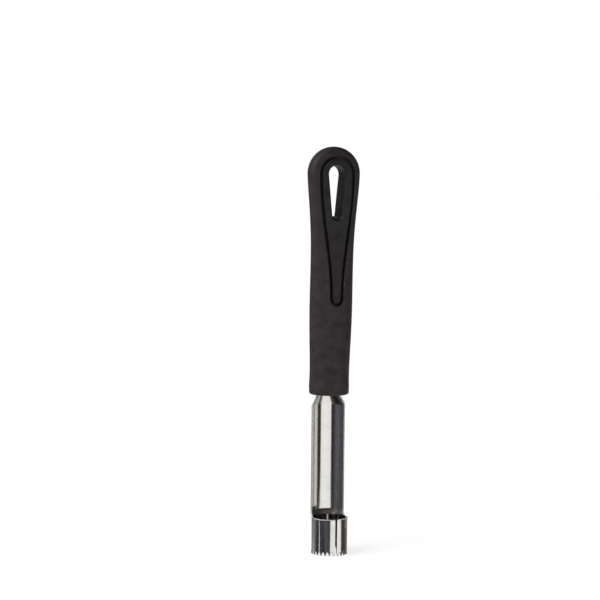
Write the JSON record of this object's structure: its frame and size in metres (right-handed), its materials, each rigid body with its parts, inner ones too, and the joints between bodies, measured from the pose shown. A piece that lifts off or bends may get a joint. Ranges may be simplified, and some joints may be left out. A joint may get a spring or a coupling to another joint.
{
  "type": "apple corer",
  "caption": "Apple corer: toothed steel cutting ring and open core trough rolled from one sheet, held in a black two-material handle with a tongue inlay and a hang hole.",
  "frame": {"origin": "on the cutting ring's axis, in the plane of the tooth tips", "axes": "+Z along the ring's axis up to the handle's head; -Y is the front, where the trough is open, the ring's seam lies and the handle shows its tongue; X is across the handle"},
  "size_m": [0.0232, 0.019, 0.178],
  "materials": {
    "steel": "bright rolled stainless sheet, fine lengthwise drawing lines, mirror-like reflections",
    "hard_plastic": "black polypropylene, fine satin",
    "soft_grip": "black soft-touch elastomer, satin with light dust and scuffs"
  },
  "bodies": {
    "root": {"corer_blade": "steel", "handle_core": "hard_plastic", "grip_sleeve": "soft_grip"}
  },
  "joints": []
}
